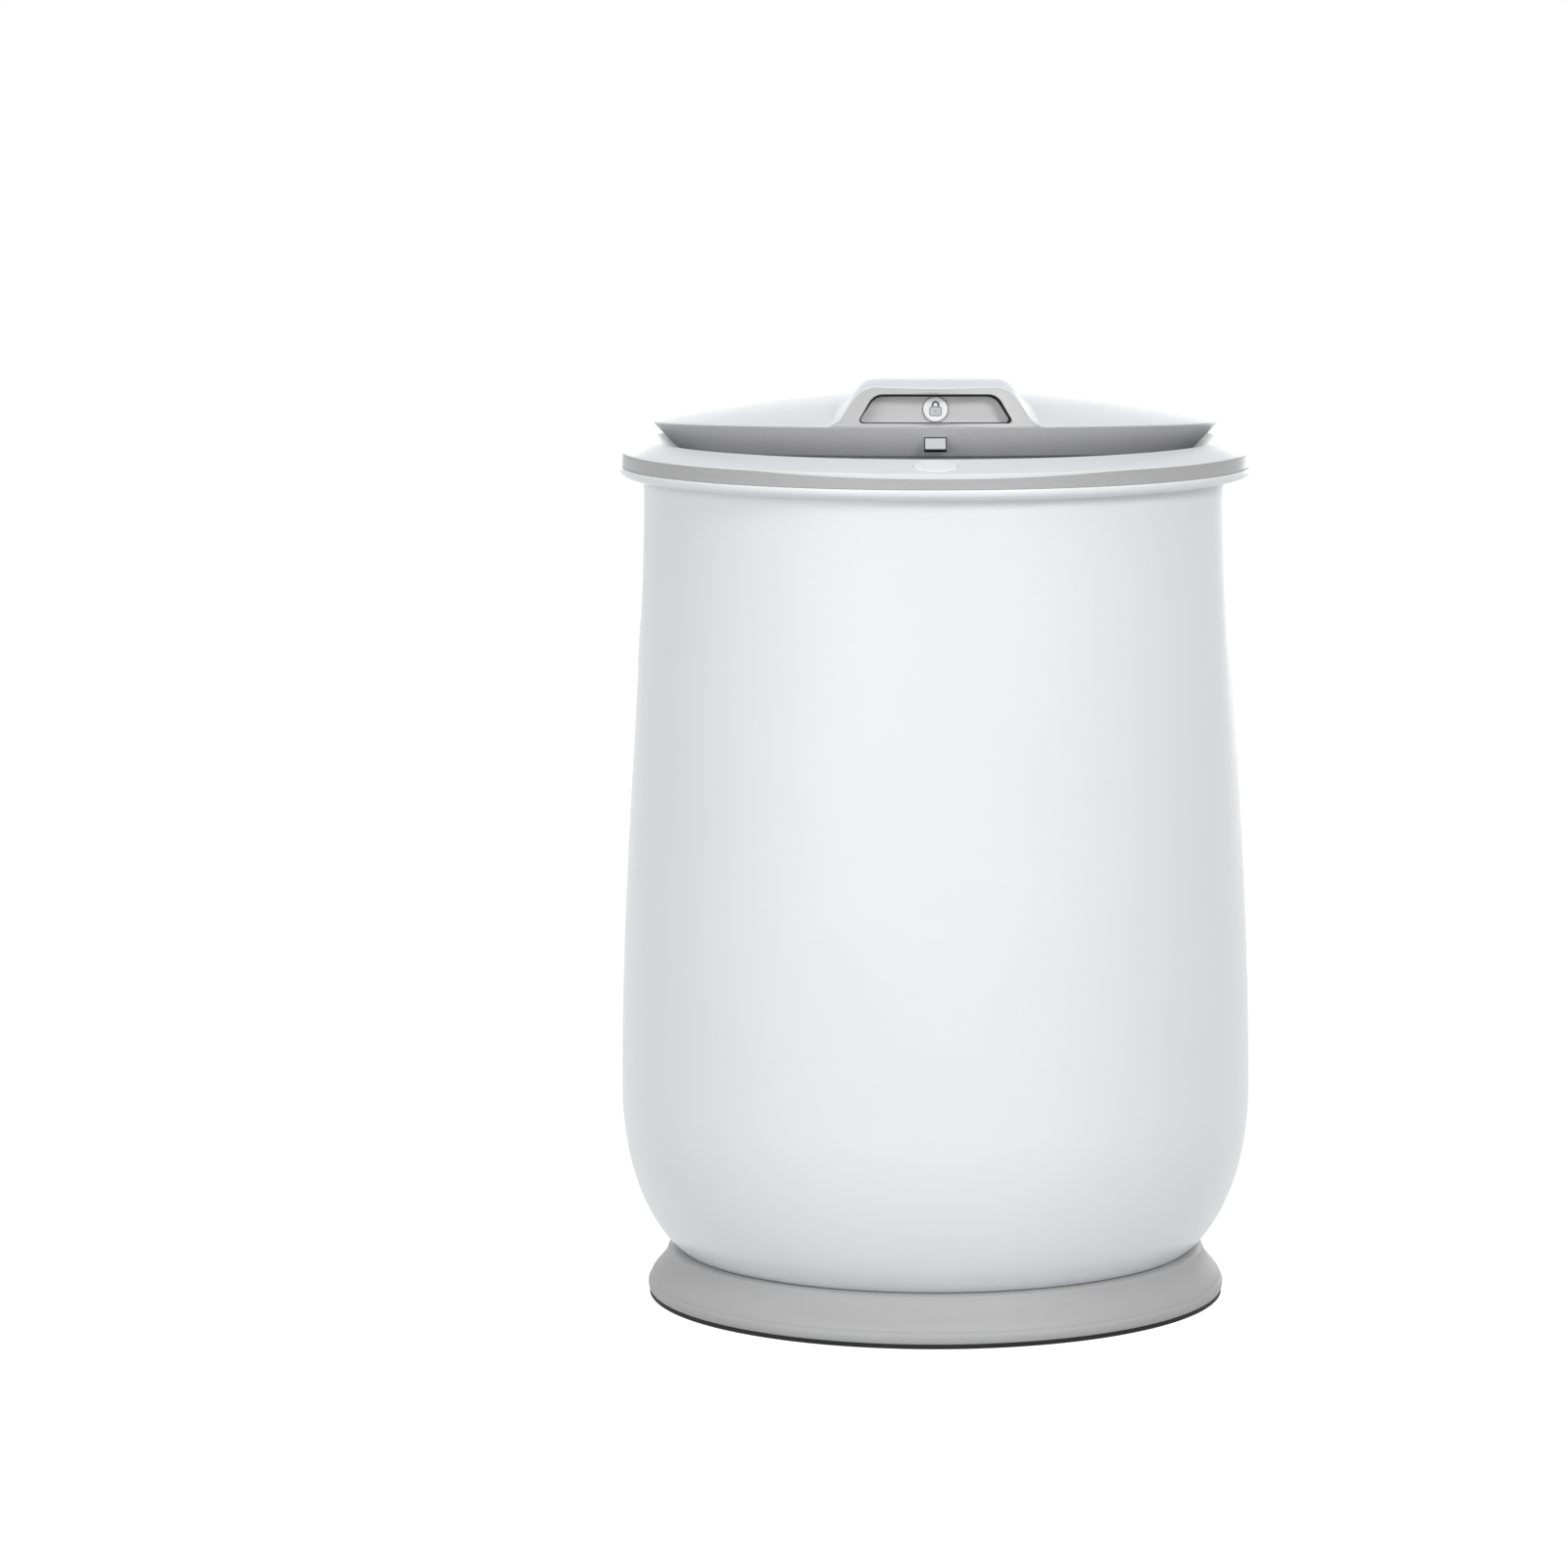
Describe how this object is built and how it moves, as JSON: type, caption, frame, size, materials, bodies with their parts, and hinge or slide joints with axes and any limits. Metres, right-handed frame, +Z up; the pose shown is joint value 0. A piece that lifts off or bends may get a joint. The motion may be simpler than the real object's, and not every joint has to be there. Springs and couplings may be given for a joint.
{
  "type": "towel warmer bucket",
  "caption": "Barrel-shaped electric towel warmer: white insulated bucket on a flared grey base, with a sloping control rim and a hinged domed lid with a latching grip.",
  "frame": {"origin": "on the barrel's axis at floor level, under the foot ring", "axes": "+Z up along the barrel's axis, -Y to the front where the power button, the handle and the latch are, +X to the viewer's right when facing the front"},
  "size_m": [0.3325, 0.3326, 0.4931],
  "materials": {
    "white_abs": "smooth satin gloss",
    "white_key": "polished",
    "grey_abs": "fine satin",
    "pale_abs": "satin gloss",
    "dark_plastic": "fine grain",
    "liner_plastic": "fine grain",
    "foot_rubber": "matt",
    "seal_silicone": "matt",
    "heater_silicone": "matt",
    "drum_aluminium": "fine brushed",
    "steel": "bright",
    "pin_brass": "bright",
    "felt": "felted",
    "foam": "open foam",
    "board_laminate": "solder mask",
    "component_plastic": "moulded",
    "connector_nylon": "moulded",
    "wire_insulation": "matt"
  },
  "bodies": {
    "body": {"outer_shell": "white_abs", "collar_ring": "white_abs", "base_shell": "grey_abs", "rim_band": "grey_abs", "hinge_bracket": "grey_abs", "rim_bezel": "pale_abs", "base_plate": "dark_plastic", "drum_cradle": "dark_plastic", "power_inlet": "dark_plastic", "tact_switch": "dark_plastic", "relay": "dark_plastic", "foot_ring": "foot_rubber", "heater_mat": "heater_silicone", "inner_drum": "drum_aluminium", "base_screws": "steel", "barrel_screws": "steel", "hinge_screws": "steel", "hinge_pin": "steel", "thermostat": "steel", "thermal_fuse": "steel", "temperature_probe": "steel", "transformer": "steel", "inlet_pins": "pin_brass", "insulation_wrap": "felt", "power_board": "board_laminate", "control_board": "board_laminate", "terminal_block": "component_plastic", "capacitor": "component_plastic", "control_connector": "connector_nylon", "status_leds": "connector_nylon", "control_cable": "wire_insulation", "sensor_wires": "wire_insulation"},
    "lid": {"lid_cover": "white_abs", "handle_fascia": "grey_abs", "grip_pocket": "grey_abs", "lid_skirt": "grey_abs", "lid_liner": "liner_plastic", "lid_insulation": "foam", "lid_seal": "seal_silicone", "lid_screws": "steel", "hinge_leaf": "grey_abs", "latch_guide": "dark_plastic", "latch_spring": "steel"},
    "latch": {"release_button": "white_key", "latch_carriage": "pale_abs"},
    "power_key": {"power_button": "pale_abs", "switch_plunger": "dark_plastic"}
  },
  "joints": [
    {"name": "lid_hinge", "type": "hinge", "parent": "body", "child": "lid", "pos_m": [0, 0.15, 0.46101], "axis": [-1, 0, 0], "range_deg": [-3, 92]},
    {"name": "release_slide", "type": "slide", "parent": "lid", "child": "latch", "axis": [0, 0.9986, -0.0523], "range_m": [0, 0.003], "stiffness_N_per_m": 800, "deforming": ["latch_spring"]},
    {"name": "power_press", "type": "slide", "parent": "body", "child": "power_key", "axis": [0, 0.3987, -0.9171], "range_m": [0, 0.0008], "stiffness_N_per_m": 1500}
  ]
}
